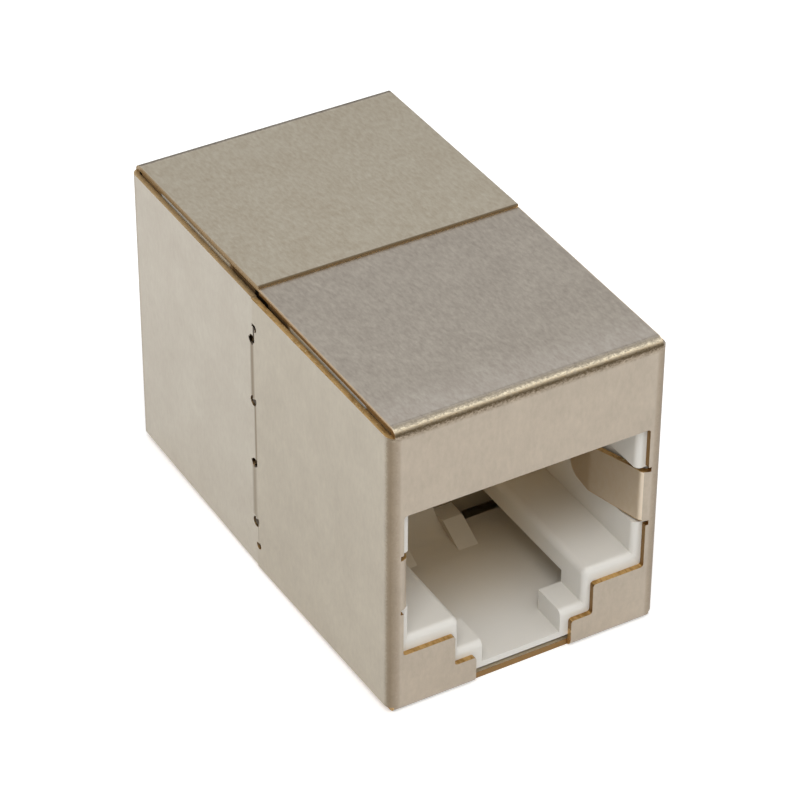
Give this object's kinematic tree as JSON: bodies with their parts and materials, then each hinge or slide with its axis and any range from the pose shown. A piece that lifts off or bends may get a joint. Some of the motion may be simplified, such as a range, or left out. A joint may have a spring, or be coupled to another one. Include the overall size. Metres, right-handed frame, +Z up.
{
  "type": "rj45 inline coupler",
  "caption": "Shielded in-line coupler with a modular jack at each end, two folded metal shells meeting in the middle round white plastic housings.",
  "frame": {"origin": "middle of the underside, on the plane the coupler rests on", "axes": "+Y along the length, from the front jack to the rear jack; +Z up, with both latch channels at the bottom; +X across the width"},
  "size_m": [0.0142, 0.0242, 0.0158],
  "materials": {
    "plated_shell": "satin nickel plate over brass sheet, bare brass on the cut edges",
    "housing_plastic": "moulded natural white plastic",
    "carrier_plastic": "moulded natural white plastic",
    "board_laminate": "green solder mask over glass laminate",
    "contact_metal": "gold flash over bronze wire"
  },
  "bodies": {
    "root": {"front_shield": "plated_shell", "rear_shield": "plated_shell", "front_housing": "housing_plastic", "rear_housing": "housing_plastic", "front_contact_carrier": "carrier_plastic", "rear_contact_carrier": "carrier_plastic", "circuit_board": "board_laminate", "front_contact_1": "contact_metal", "front_contact_2": "contact_metal", "front_contact_3": "contact_metal", "front_contact_4": "contact_metal", "front_contact_5": "contact_metal", "front_contact_6": "contact_metal", "front_contact_7": "contact_metal", "front_contact_8": "contact_metal", "rear_contact_1": "contact_metal", "rear_contact_2": "contact_metal", "rear_contact_3": "contact_metal", "rear_contact_4": "contact_metal", "rear_contact_5": "contact_metal", "rear_contact_6": "contact_metal", "rear_contact_7": "contact_metal", "rear_contact_8": "contact_metal"}
  },
  "joints": []
}
